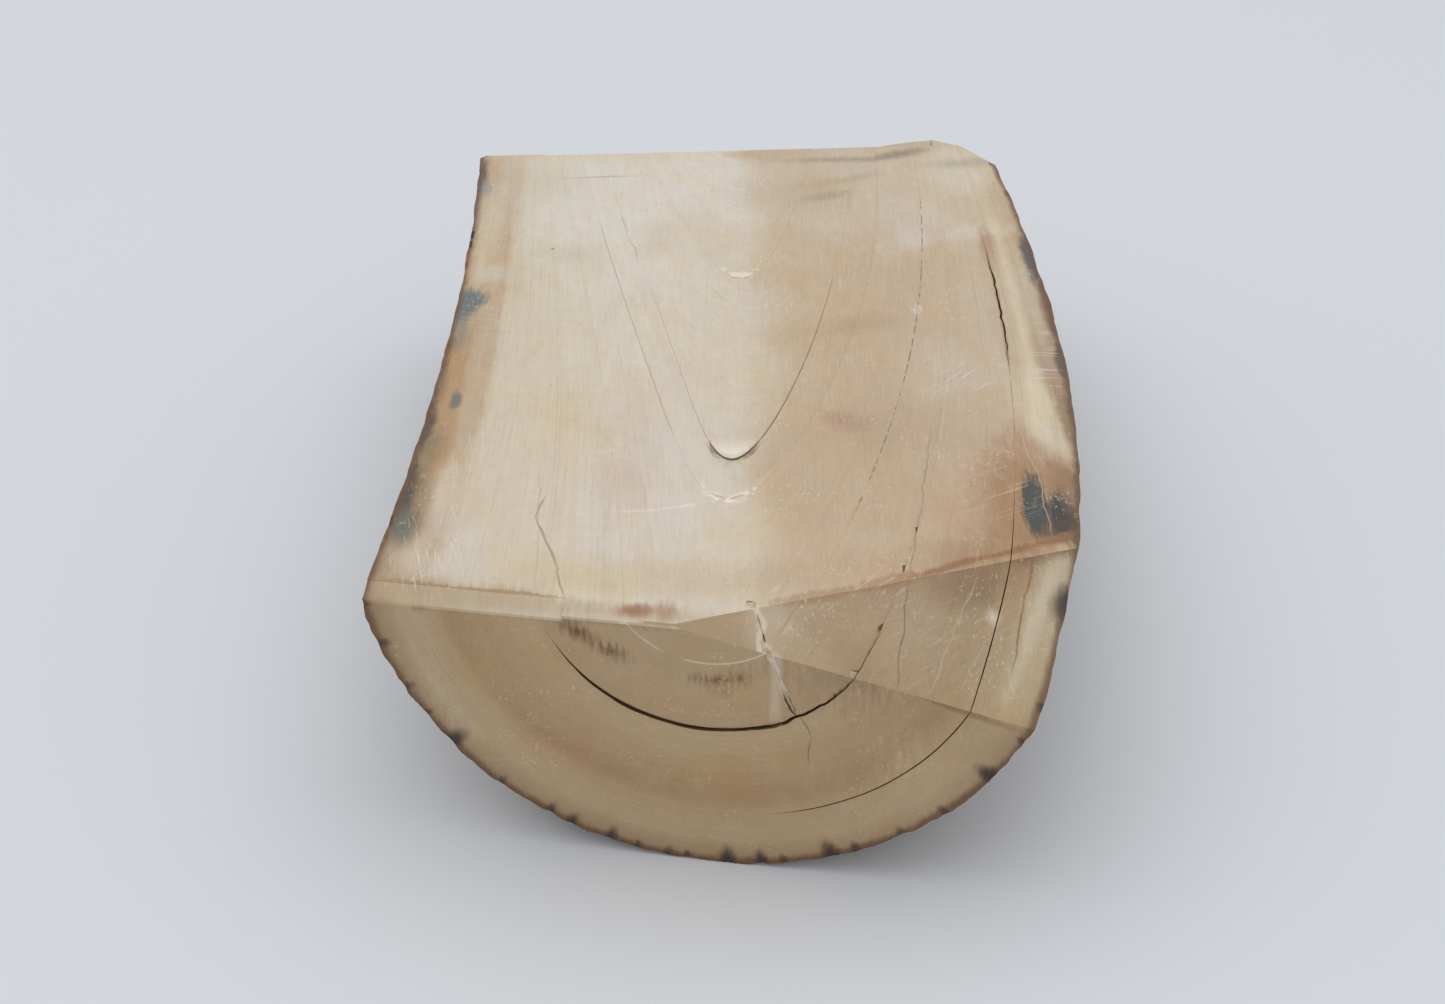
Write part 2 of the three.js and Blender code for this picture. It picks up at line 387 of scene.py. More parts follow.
class Finish:
    """Builds one node tree: each call adds a node and gives back what comes out of it."""

    def __init__(self, tree):
        self.tree = tree
        self.where = tree.nodes.new("ShaderNodeTexCoord")

    def add(self, kind, *inputs, **settings):
        made = self.tree.nodes.new("ShaderNode" + kind)
        for name, value in settings.items():
            setattr(made, name, value)
        sockets = [socket for socket in made.inputs if socket.enabled]
        for socket, value in zip(sockets, inputs):
            self.put(socket, value)
        return next(socket for socket in made.outputs if socket.enabled)

    def put(self, socket, value):
        if isinstance(value, bpy.types.NodeSocket):
            self.tree.links.new(value, socket)
        elif value is not None:
            socket.default_value = value

    def math(self, operation, *values):
        return self.add("Math", *values, operation=operation)

    def vector(self, operation, *values):
        return self.add("VectorMath", *values, operation=operation)

    def parts(self, place):
        """The x, y and z of a place."""
        return [self.vector("DOT_PRODUCT", place, way) for way in ((1, 0, 0), (0, 1, 0), (0, 0, 1))]

    def band(self, value, low, high):
        """Goes smoothly from 0 at low to 1 at high."""
        return self.add("MapRange", value, low, high, 0.0, 1.0, interpolation_type="SMOOTHSTEP",
                        clamp=False)

    def swing(self, value, amount):
        """Turns a value from 0 to 1 into one that swings amount in all, half of it each way from zero."""
        return self.math("MULTIPLY_ADD", value, amount, -amount / 2)

    def tones(self, value, low, high, stops):
        """A colour read off a row of tones, each stated at its place in mm between low and high."""
        made = self.tree.nodes.new("ShaderNodeValToRGB")
        span = high - low
        self.put(made.inputs[0], self.math("MULTIPLY_ADD", value, 1 / span, -low / span))
        ramp = made.color_ramp
        while len(ramp.elements) < len(stops):
            ramp.elements.new(0.5)
        for stop, (mm, tone) in zip(ramp.elements, stops):
            stop.position = (mm - low) / span
            stop.color = shade(*tone)
        return made.outputs["Color"]

    def both(self, *masks):
        whole = masks[0]
        for mask in masks[1:]:
            whole = self.math("MULTIPLY", whole, mask)
        return whole

    def most(self, *masks):
        whole = masks[0]
        for mask in masks[1:]:
            whole = self.math("MAXIMUM", whole, mask)
        return whole

    def less(self, mask):
        return self.math("SUBTRACT", 1.0, mask)

    def mix(self, share, under, over, blend_type="MIX"):
        made = self.tree.nodes.new("ShaderNodeMix")
        made.data_type = "RGBA"
        made.blend_type = blend_type
        for name, value in (("Factor_Float", share), ("A_Color", under), ("B_Color", over)):
            self.put(next(socket for socket in made.inputs if socket.identifier == name), value)
        return next(socket for socket in made.outputs if socket.identifier == "Result_Color")

    def spot(self, place, x, y, half_x, half_y, turn=0.0):
        """How far a place in plan is from the middle of an oval whose edge lies at 1."""
        if not turn:
            inside = self.vector("MULTIPLY_ADD", place, (1 / half_x, 1 / half_y, 0),
                                 (-x / half_x, -y / half_y, 0))
            return self.vector("LENGTH", inside)
        cos, sin = math.cos(math.radians(turn)), math.sin(math.radians(turn))
        across, along = Vector((cos, sin, 0)) / half_x, Vector((-sin, cos, 0)) / half_y
        middle = Vector((x, y, 0))
        inside = self.add("CombineXYZ", self.vector("DOT_PRODUCT", place, across),
                          self.vector("DOT_PRODUCT", place, along), 0.0)
        inside = self.vector("SUBTRACT", inside, (across @ middle, along @ middle, 0))
        return self.vector("LENGTH", inside)

    def noise(self, size, detail=2.0, rough=0.5, turn=0.0, at=(0, 0, 0)):
        """Soft random spots from 0 to 1, size mm across, or longer one way where size has three numbers.
        They read the object's own place directly, which keeps the shader small."""
        size = Vector(size) if isinstance(size, tuple) else Vector((size, size, size))
        seen = self.add("Mapping", self.where.outputs["Object"], Vector(at) * MM,
                        (0, 0, math.radians(turn)), size * MM, vector_type="TEXTURE")
        return self.speckle(seen, 1.0, detail, rough, "3D")

    def rings(self, value, size, detail=3.0, rough=0.6):
        """The same along a single number in mm."""
        return self.speckle(value, 1.0 / size, detail, rough, "1D")

    def speckle(self, value, scale, detail, rough, dimensions):
        made = self.tree.nodes.new("ShaderNodeTexNoise")
        made.noise_dimensions = dimensions
        self.put(made.inputs["W" if dimensions == "1D" else "Vector"], value)
        made.inputs["Scale"].default_value = scale
        made.inputs["Detail"].default_value = detail
        made.inputs["Roughness"].default_value = rough
        return made.outputs["Fac"]


def shade(red, green, blue):
    """A colour as it looks by daylight on the bench, each channel out of 255."""
    return tuple((channel / 255) ** 2.2 for channel in (red, green, blue)) + (1.0,)


def paint_washes(finish, colour, place, washes, ragged):
    """Lays soft-edged stains, and a few bands of painted shade, over a colour, one over the other."""
    for x, y, half_x, half_y, turn, soft, stain_and_shade, strength in washes:
        away = finish.math("ADD", finish.spot(place, x, y, half_x, half_y, turn), ragged)
        share = finish.math("MULTIPLY", finish.band(away, 1 + soft, 1 - soft), strength)
        colour = finish.mix(share, colour, shade(*stain_and_shade))
    return colour


# The stains and tones of the long sawn face: place, half width, half length, turn in degrees, softness,
# colour, strength. The first ones are the broad tones, the later ones the patches on them.
TOP_WASHES = (
    (-20, 66, 27, 34, 0, 0.5, (212, 204, 192), 0.75), (29, 68, 22, 26, 0, 0.5, (197, 181, 161), 0.75),
    (-22, -48, 15, 30, 0, 0.5, (205, 193, 180), 0.6), (-36, -40, 9, 26, 0, 0.6, (205, 190, 167), 0.6),
    (14, -42, 13, 32, 0, 0.4, (187, 163, 135), 0.7), (30, -34, 14, 26, 0, 0.6, (185, 161, 134), 0.6),
    (46, 80, 7, 14, 0, 0.5, (205, 192, 170), 0.8), (-26, 87, 28, 4, 3, 0.8, (206, 192, 168), 0.6),
    (-3, -4, 9, 30, 0, 0.5, (205, 191, 171), 0.5), (2, 48, 4, 15, -8, 0.5, (206, 196, 181), 0.7),
    (4, 22, 5, 14, 0, 0.6, (204, 192, 174), 0.6), (-6, 46, 5, 12, 10, 0.9, (200, 181, 152), 0.55),
    (12, 66, 11, 8, 10, 0.8, (186, 164, 137), 0.7), (7, 86.5, 9, 3.4, 0, 0.5, (188, 163, 137), 0.8),
    (13, 80, 9, 6, 0, 0.8, (193, 174, 150), 0.6), (15, 71, 4, 2.5, 20, 0.8, (186, 160, 130), 0.6),
    (18, 65, 4.5, 1.6, 20, 0.8, (152, 142, 118), 0.55), (24, 74, 5, 1.5, 25, 0.9, (165, 155, 132), 0.45),
    (20, 83.6, 9, 1.2, 2, 0.8, (148, 136, 114), 0.65), (34, 86.6, 7, 1.7, 24, 0.8, (128, 118, 98), 0.75),
    (48, 82, 7, 2.2, 8, 0.9, (158, 150, 128), 0.55), (-30, 74.6, 7, 0.35, 4, 0.8, (160, 148, 116), 0.55),
    (-41, 70, 5, 9, -15, 0.9, (196, 184, 158), 0.5), (-33, 38, 6, 4, 0, 0.9, (192, 182, 152), 0.45),
    (-37, 40, 0.35, 0.35, 0, 0.5, (96, 88, 74), 0.7), (-16, 44, 4, 7, 0, 0.9, (194, 176, 148), 0.45),
    (8, 34, 6, 22, 0, 0.6, (190, 167, 140), 0.55), (20, 27, 14, 5, 5, 0.9, (189, 166, 138), 0.5),
    (12, 4, 7, 8, 0, 0.7, (186, 161, 131), 0.7), (22, 8, 7, 3.2, 18, 0.9, (176, 147, 114), 0.75),
    (30, 3, 7, 8, 0, 0.9, (188, 166, 140), 0.5), (17, -27, 4.2, 2.6, -30, 0.9, (168, 134, 112), 0.75),
    (24, -30, 10, 6, 10, 0.9, (176, 151, 126), 0.5), (9, -46, 5, 22, 0, 0.6, (185, 160, 133), 0.5),
    (-17, -22, 5, 14, 0, 0.9, (202, 186, 168), 0.5), (-20, -46, 4, 7, 0, 0.9, (190, 166, 146), 0.45),
    (-31, -21, 4, 9, 0, 0.8, (200, 182, 152), 0.55), (-24, -32, 6, 5, 0, 0.9, (200, 184, 155), 0.5),
    (-39, 3, 5, 22, 0, 0.8, (203, 189, 166), 0.5), (34.5, 45, 3.6, 5, 0, 0.5, (203, 189, 175), 0.75),
    (47, 48, 8, 3.4, 18, 0.6, (204, 192, 178), 0.7), (38, 60, 6, 9, 0, 0.8, (201, 188, 170), 0.5),
    (37, -10, 8, 10, 0, 0.8, (196, 181, 163), 0.45), (19, -64, 3.4, 3, 0, 0.9, (198, 178, 158), 0.5),
    (8, -72, 4, 8, 0, 0.9, (203, 186, 168), 0.5), (0, -60, 5, 9, 0, 0.9, (205, 187, 160), 0.5),
    (-22, -74, 17, 5, -6, 0.7, (199, 178, 147), 0.65), (-6, -74, 9, 5, 0, 0.8, (194, 173, 145), 0.6),
    (-46, -68, 8, 9, 0, 0.6, (204, 193, 180), 0.7), (-51, -76, 6, 3, -10, 0.9, (176, 152, 124), 0.6),
    (-46.8, 30, 1.5, 46, 0, 0.7, (184, 158, 130), 0.6),
    (-50.5, -12, 4.6, 46, 0, 0.5, (172, 138, 100), 0.85),
    (-47.6, -10, 1.7, 36, 0, 0.6, (190, 170, 148), 0.6),
    (-48.5, -50, 3, 9, 0, 0.7, (204, 191, 174), 0.7),
    (-50.5, 38, 1.8, 28, 0, 0.6, (202, 186, 160), 0.7), (-48, 30, 3, 4, 0, 0.7, (204, 194, 184), 0.6),
    (-51, 74, 3, 14, 0, 0.8, (190, 172, 148), 0.5), (-51.8, 16, 3.2, 8, -12, 0.35, (98, 107, 107), 0.95),
    (-52, 5, 1.7, 6, 0, 0.7, (130, 126, 116), 0.7), (-50, -20, 0.9, 2.8, 0, 0.5, (104, 102, 100), 0.8),
    (-54, -15, 1.6, 18, 0, 0.6, (140, 112, 84), 0.7), (-53, -36, 2.6, 6, 0, 0.8, (128, 112, 86), 0.8),
    (-54.8, -28, 1.8, 9, 0, 0.5, (72, 66, 64), 0.9), (-55.4, -48, 2.6, 10, 3, 0.5, (62, 62, 60), 0.9),
    (-52, -52, 1.6, 9, 0, 0.7, (142, 118, 88), 0.6), (-54, -60, 2, 5, 0, 0.7, (92, 96, 90), 0.8),
    (-54.5, 74, 1.3, 8, 0, 0.5, (82, 76, 76), 0.85), (-53.5, 69, 1.6, 4, 0, 0.6, (140, 142, 140), 0.75),
    (-55, 50, 0.9, 12, 0, 0.6, (110, 98, 92), 0.7), (45, -52, 8, 17, -10, 0.6, (158, 121, 86), 0.9),
    (38, -66, 11, 5, 20, 0.8, (154, 120, 88), 0.75), (33, -54, 5, 9, 0, 0.9, (182, 154, 126), 0.6),
    (47, -34, 3, 6, 10, 0.7, (172, 138, 112), 0.7), (50.5, -20, 3.2, 12, 0, 0.5, (207, 193, 167), 0.95),
    (52.5, -33, 2.6, 6, 0, 0.6, (204, 190, 168), 0.7),
    (46.2, -53, 2.1, 8.5, -3, 0.3, (62, 70, 70), 0.95),
    (50.6, -57, 2.4, 6.8, 0, 0.4, (50, 55, 56), 0.95), (49, -61, 3.4, 2.6, 20, 0.8, (78, 66, 56), 0.85),
    (52.6, -48, 2, 9, 8, 0.7, (140, 104, 78), 0.7), (55, -3, 2.4, 10, 0, 0.9, (150, 130, 114), 0.6),
    (54.5, 20, 1.6, 20, 0, 0.8, (192, 176, 154), 0.6), (56.6, 36, 1.5, 12, 0, 0.5, (72, 76, 80), 0.9),
    (57, 14, 1.0, 12, 0, 0.6, (120, 84, 62), 0.7), (57, -6, 1.0, 6, 0, 0.6, (84, 76, 80), 0.8),
    (55.6, -30, 1.6, 16, 4, 0.6, (132, 104, 84), 0.7), (48.6, 42, 1.4, 8, 0, 0.7, (166, 134, 110), 0.75),
    (47.8, 8, 1.6, 26, 0, 0.8, (182, 160, 136), 0.5), (51.5, 10, 1.0, 34, 0, 0.7, (206, 192, 168), 0.6),
    (12, -72, 10, 5, 14, 0.7, (184, 157, 127), 0.7),
    (-42, -78.8, 18, 3.0, -9, 0.6, (172, 150, 122), 0.8),
    (-16, -83.4, 14, 2.2, -9, 0.7, (182, 162, 134), 0.7),
    (-17, -82.6, 2.6, 1.5, -8, 0.8, (146, 98, 72), 0.85),
    (-12, -83, 1.2, 2, 0, 0.9, (160, 120, 92), 0.7),
)
# The same on the front face, where the second number is the height above the floor.
FRONT_WASHES = (
    (14, 38, 17, 9, -16, 0.6, (150, 123, 95), 0.75), (30, 29, 10, 12, 20, 0.7, (172, 144, 112), 0.5),
    (-8, 12, 40, 7, 0, 0.8, (184, 155, 118), 0.5), (-6, 24, 24, 9, 0, 0.8, (190, 165, 126), 0.5),
    (-12, 38, 16, 9, 0, 0.7, (182, 156, 124), 0.5), (12, 36, 12, 7, -25, 0.8, (184, 154, 122), 0.5),
    (26, 26, 8, 9, 30, 0.8, (200, 175, 138), 0.7), (-40, 33, 4, 14, 8, 0.9, (188, 163, 127), 0.5),
    (-24.4, 42, 5.6, 1.9, -26, 0.9, (104, 74, 48), 0.95),
    (-20.5, 39.4, 3.2, 1.8, -24, 0.9, (100, 70, 46), 0.9),
    (-5, 36, 4.4, 1.5, 8, 0.9, (106, 76, 50), 0.95), (-1, 37, 2.9, 2.0, 0, 0.9, (98, 70, 46), 0.95),
    (-3.6, 34, 3, 1.6, 8, 0.9, (138, 106, 76), 0.5), (18, 38, 3, 2, 0, 0.9, (150, 120, 90), 0.6),
    (-49, 44.4, 1.5, 1.3, 0, 0.8, (104, 78, 58), 0.8), (-46, 27, 3, 9, 28, 0.8, (202, 184, 158), 0.5),
    # The last one, a brown band along the top edge of the front face just under the arris, is painted
    # shade.
    (-50, 42, 5, 4, 10, 0.8, (192, 168, 134), 0.5), (-30, 44.6, 26, 0.9, 0, 0.8, (146, 116, 84), 0.55),
)
# The same on the facet, seen from above.
FACET_WASHES = (
    (8, -84, 9, 6, 0, 0.7, (192, 168, 140), 0.6), (30, -82, 9, 8, 10, 0.8, (178, 156, 127), 0.6),
    (40, -68, 11, 5, 25, 0.8, (150, 122, 94), 0.75), (18, -78, 9, 2.6, 20, 0.8, (168, 138, 108), 0.6),
    (34, -74, 5, 3.4, 20, 0.8, (146, 118, 92), 0.7), (16, -88, 6, 3, -40, 0.8, (168, 138, 106), 0.6),
    (23, -81, 5, 4, 0, 0.9, (186, 162, 138), 0.6), (10, -79.5, 5, 2, 10, 0.9, (192, 166, 140), 0.6),
    (47, -74, 3.6, 13, -24, 0.6, (200, 184, 162), 0.95),
    (42, -86, 3.6, 9, -24, 0.8, (194, 172, 140), 0.8),
    (43.4, -79, 1.2, 12, -24, 0.6, (214, 200, 180), 0.6),
    (37.2, -78.6, 0.9, 1.0, 0, 0.9, (222, 208, 194), 0.8),
    (50.5, -65, 3.6, 1.8, 20, 0.8, (104, 72, 50), 0.85),
    (44.5, -67, 5, 2.0, 20, 0.8, (126, 92, 64), 0.75),
    (3, -84, 3, 5, 0, 0.8, (204, 186, 168), 0.7), (8, -90, 6, 3, -20, 0.8, (186, 160, 128), 0.5),
)
# Fine lines on the same faces: the points that each one runs through, its half width in mm, its
# colour and its strength.
TOP_LINES = (
    (((-32.3, -52), (-33.3, -57), (-31.2, -64), (-29, -71), (-27.6, -78.5)), 0.2, (146, 132, 104), 0.75),
    (((-33.7, -43), (-32.5, -62), (-31.8, -79)), 0.13, (180, 166, 138), 0.6),
    (((-20, -55.4), (-13, -54.6), (-7, -53)), 0.4, (222, 210, 194), 0.65),
    (((46.7, -30.6), (48, -45), (47.9, -62)), 0.1, (206, 186, 160), 0.5),
    (((-24.6, 56), (-22.4, 46), (-20.2, 35)), 0.14, (166, 152, 126), 0.6),
    (((22, -90), (24.4, -75), (28, -55), (31.4, -32)), 0.14, (150, 132, 108), 0.75),
    # The last line, along the back edge of the rebate, is painted shade: it stands for the shadow of the
    # small step there, which is modelled only 0.03 mm high.
    (((-57, -74.3), (-45, -76.3), (-28.7, -78.9)), 0.45, (160, 128, 92), 0.75),
)
# Places where crumbled ivory lies in the pits and round them, and how far it reaches.
CHALKY = (
    (-4.4, -50.9, 2.0), (-1.2, -51.0, 2.0), (-1.1, 27.2, 2.0), (0.8, 27.4, 1.6), (32.5, 14.3, 1.8),
    (0.9, -81.4, 1.3), (2.0, -84.6, 1.0), (2.9, -87.6, 1.0), (4.2, -89.2, 1.3),
)
RIDGE_LINE = ((4.7, -80.4), (16.3, -76.8), (26.3, -73.2), (36.3, -68.6), (46.3, -64.4), (54, -61.6))
FRONT_LINES = (
    (((3.2, 42.5), (4.4, 37.5), (7, 31.5)), 0.4, (222, 211, 197), 0.7),
    (((8, 31), (9.6, 27), (9.2, 22)), 0.14, (120, 94, 70), 0.6),
    # The last one carries the same band of painted shade under the arris on along the right of the front
    # face, below the facet.
    (((-2, 44.6), (20, 39.2), (38, 32.6)), 0.7, (138, 104, 70), 0.6),
)
FACET_LINES = (
    (((2, -90), (1.4, -87), (2.4, -84), (0.4, -81)), 0.45, (224, 214, 202), 0.75),
    (((22, -92), (24.4, -75)), 0.14, (140, 118, 94), 0.8),
    (((44.8, -66.4), (42.3, -75), (39.6, -86)), 0.2, (150, 104, 66), 0.75),
    (((27, -91), (31, -82), (35, -73)), 0.1, (210, 192, 168), 0.5),
    (((31, -91), (36, -82), (39.4, -76)), 0.09, (206, 186, 160), 0.45),
    (((4, -86), (9, -79)), 0.12, (170, 142, 112), 0.6),
)


def lines_as_washes(lines):
    """Each stretch of a line as a wash as long and as thin as it is; most are stained streaks, and a few
    are streaks of painted shade.
    """
    for points, half_width, stain_and_shade, strength in lines:
        for (x0, y0), (x1, y1) in zip(points, points[1:]):
            long = math.hypot(x1 - x0, y1 - y0)
            turn = -math.degrees(math.atan2(x1 - x0, y1 - y0))
            yield ((x0 + x1) / 2, (y0 + y1) / 2, half_width, long * 0.53, turn, 0.45, stain_and_shade, strength)


# How the growth lines run back along the tusk: the middle one widens, and the others crowd round it.
GROWTH_SLOPE = 0.29
GROWTH_BEND = -0.0006
CROWDING = -0.0055
CROWDING_BEND = 0.000011


def polar(finish, place, left=0.0):
    """Where a place lies in the tusk: its distance from the axis in mm, its angle from straight down in
    degrees, its depth under the skin, and the radius that its growth line had at the front end."""
    x, y, z = finish.parts(place)
    ahead = finish.math("LESS_THAN", y, BOW_Y)
    reach = finish.math("MULTIPLY_ADD", ahead, 2 * BOW_Y, REACH - BOW_Y)
    share = finish.math("DIVIDE", finish.math("SUBTRACT", y, BOW_Y), reach)
    bow = finish.math("MULTIPLY_ADD", ahead, BOW_FRONT - BOW_BACK, BOW_BACK)
    bowed = finish.math("MULTIPLY", finish.math("MULTIPLY", share, share), bow)
    sideways = finish.math("ADD", finish.math("SUBTRACT", x, BOW_MIDDLE - left), bowed)
    front_half = finish.math("LESS_THAN", y, 0.0)
    taper = finish.math("MULTIPLY_ADD", front_half, TAPER_FRONT - TAPER_BACK, TAPER_BACK)
    along = finish.math("DIVIDE", y, REACH)
    tusk = finish.math("SUBTRACT", TUSK_RADIUS,
                       finish.math("MULTIPLY", finish.math("MULTIPLY", along, along), taper))
    down = finish.math("SUBTRACT", tusk, z)
    away = finish.vector("LENGTH", finish.add("CombineXYZ", sideways, down))
    angle = finish.math("DEGREES", finish.math("ARCTAN2", sideways, down))
    under_skin = finish.math("SUBTRACT", tusk, away)
    run = finish.math("SUBTRACT", y, CONE_Y)
    slope = finish.math("MULTIPLY_ADD", run, GROWTH_BEND, GROWTH_SLOPE)
    gained = finish.math("MULTIPLY", run, slope)
    crowding = finish.math("MULTIPLY_ADD", run, CROWDING_BEND, CROWDING)
    shrunk = finish.math("MULTIPLY_ADD", run, crowding, 1.0)
    growth = finish.math("DIVIDE", finish.math("SUBTRACT", away, gained), shrunk)
    return away, angle, under_skin, growth


# The cross-hatch of the dentine: two sets of bands that lean across each other.
HATCH_TURN = 0.62  # mm for each degree round the tusk, about 36 mm out from its axis
HATCH_LEAN = 0.62  # how far a band shifts sideways for each mm outwards
HATCH_PITCH = 5.6  # radians for each mm, so that the bands repeat every 1.1 mm


def sawn_ivory():
    """The look of the sawn and sanded faces, shared by the bark and all the cones under it, because the
    saw, the sander and the stains in the ground paid no heed to the layers."""
    tree = bpy.data.node_groups.new("sawn_ivory", "ShaderNodeTree")
    tree.interface.new_socket("Colour", in_out="OUTPUT", socket_type="NodeSocketColor")
    tree.interface.new_socket("Roughness", in_out="OUTPUT", socket_type="NodeSocketFloat")
    tree.interface.new_socket("Height", in_out="OUTPUT", socket_type="NodeSocketFloat")
    tree.interface.new_socket("Sawn", in_out="OUTPUT", socket_type="NodeSocketFloat")
    finish = Finish(tree)
    place = finish.vector("SCALE", finish.where.outputs["Object"], 1 / MM)
    facing = finish.vector("NORMALIZE", finish.where.outputs["Normal"])
    x, _, z = finish.parts(place)
    away, angle, under_skin, growth = polar(finish, place)

    # Which face a place is on.
    upward = finish.band(finish.vector("DOT_PRODUCT", facing, UP), 0.935, 0.97)
    near_top = finish.band(z, SAWN_TOP - 1.6, SAWN_TOP - 1.1)
    on_top = finish.both(upward, near_top)
    facet_out = finish.vector("DOT_PRODUCT", finish.vector("SUBTRACT", place, FACET_RIDGE), FACET_NORMAL)
    near_facet = finish.band(facet_out, -1.2, -0.8)
    on_facet = finish.both(finish.band(finish.vector("DOT_PRODUCT", facing, FACET_NORMAL), 0.945, 0.965),
                           near_facet)
    front_out = finish.vector("DOT_PRODUCT", finish.vector("SUBTRACT", place, FRONT_LEFT), FRONT)
    near_front = finish.band(front_out, -1.2, -0.8)
    on_front = finish.both(finish.band(finish.vector("DOT_PRODUCT", facing, FRONT), 0.8, 0.9), near_front)
    back_out = finish.vector("DOT_PRODUCT", finish.vector("SUBTRACT", place, BACK_MIDDLE), BACK)
    near_back = finish.band(back_out, -6.0, -5.0)
    on_back = finish.both(finish.band(finish.vector("DOT_PRODUCT", facing, BACK), 0.6, 0.75), near_back)
    beside_cuts = finish.math("ADD", finish.math("ADD", near_top, near_facet),
                              finish.math("ADD", near_front, near_back))
    on_rebate = finish.both(near_top, finish.band(front_out, -6.5, -6.0), finish.band(x, -26.0, -27.0))
    sawn = finish.most(on_top, on_facet, on_front, on_back, on_rebate, finish.band(beside_cuts, 1.3, 1.8))

    # The sawn top: a tone across the tusk, stained patches, and the grain of the growth lines.
    cloud = finish.noise((9, 14, 9), 4.0, 0.6)
    streaky = finish.noise((2.2, 20, 2.2), 3.0, 0.6)
    hairy = finish.noise((0.7, 3.5, 3.5), 3.0, 0.6)
    ragged = finish.math("ADD", finish.swing(cloud, 1.3), finish.swing(hairy, 0.9))
    wander = finish.math("ADD", finish.swing(cloud, 4.0), finish.swing(streaky, 2.0))
    bowed_x = finish.math("ADD", x, wander)
    across = finish.tones(bowed_x, -60, 60, (
        (-57, (140, 112, 86)), (-52, (182, 154, 120)), (-46, (196, 176, 150)), (-42, (203, 190, 168)),
        (-30, (206, 194, 174)), (-14, (208, 197, 180)), (-1, (206, 193, 174)), (3, (198, 180, 155)),
        (10, (193, 171, 144)), (24, (189, 164, 135)), (38, (191, 168, 141)), (45, (193, 173, 148)),
        (50, (197, 178, 150)), (54, (186, 162, 132)), (58, (152, 126, 102)),
    ))
    lapping = finish.swing(finish.noise(5.0, 3.0, at=(9, 4, 2)), 1.6)
    nudge = finish.add("CombineXYZ", lapping, finish.math("MULTIPLY", ragged, 1.2), 0.0)
    flat = finish.vector("ADD", place, nudge)
    top = paint_washes(finish, across, flat, TOP_WASHES, ragged)
    frayed = finish.math("MULTIPLY", ragged, 0.6)
    top = paint_washes(finish, top, flat, lines_as_washes(TOP_LINES), frayed)
    ridge = tuple(lines_as_washes((
        (RIDGE_LINE, 1.3, (160, 122, 86), 0.6),
        (RIDGE_LINE[2:], 0.8, (136, 94, 60), 0.7),
    )))
    top = paint_washes(finish, top, flat, ridge, ragged)

    # The front face: broad rings of growth, fine ones near the bark, and stains.
    far = finish.math("ADD", growth, finish.swing(cloud, 2.0))
    rings = finish.tones(far, 0, 60, (
        (0, (186, 160, 126)), (14, (186, 160, 125)), (20, (188, 161, 126)), (26, (182, 154, 120)),
        (29, (190, 163, 127)), (33, (186, 157, 121)), (37, (180, 150, 114)), (41, (174, 143, 107)),
        (44, (184, 157, 122)), (46, (193, 169, 134)), (49, (186, 162, 128)), (52, (172, 146, 114)),
        (55, (146, 118, 90)),
    ))
    upright = finish.vector("ADD", finish.add("CombineXYZ", x, z, 0.0), nudge)
    bristly = finish.math("MULTIPLY_ADD", hairy, 1.2, finish.math("MULTIPLY", ragged, 1.3))
    front = paint_washes(finish, rings, upright, FRONT_WASHES, bristly)
    front = paint_washes(finish, front, upright, lines_as_washes(FRONT_LINES), frayed)
    facet = finish.mix(0.6, rings, shade(176, 148, 117))
    facet = paint_washes(finish, facet, flat, FACET_WASHES, ragged)
    facet = paint_washes(finish, facet, flat, lines_as_washes(FACET_LINES), frayed)
    facet = paint_washes(finish, facet, flat, ridge, ragged)
    # The facet and the front face are darkened all over: partly their own darker tone, partly painted
    # shade, as both get less light than the top.
    facet = finish.mix(1.0, facet, (0.80, 0.79, 0.75, 1), "MULTIPLY")
    front = finish.mix(1.0, front, (0.885, 0.87, 0.86, 1), "MULTIPLY")
    back = finish.mix(0.3, rings, shade(204, 188, 162))
    colour = finish.mix(on_front, top, front)
    colour = finish.mix(on_facet, colour, facet)
    colour = finish.mix(on_back, colour, back)

    # Growth lines: fine grain on every face, along the cones.
    fine = finish.rings(growth, 0.75, 3.0, 0.65)
    broad = finish.rings(growth, 3.2, 2.0, 0.5)
    patchy = finish.band(finish.noise(14.0), 0.3, 0.7)
    grain = finish.math("ADD", finish.swing(fine, 0.16), finish.swing(broad, 0.14))
    grain = finish.math("MULTIPLY", grain, finish.math("MULTIPLY_ADD", patchy, 0.8, 0.35))
    fibre = finish.noise((0.45, 10, 0.45), 2.0, 0.6)
    fibre = finish.math("MULTIPLY", finish.swing(fibre, 0.18), on_top)
    mottle = finish.swing(finish.noise(2.6, 5.0, 0.7), 0.2)

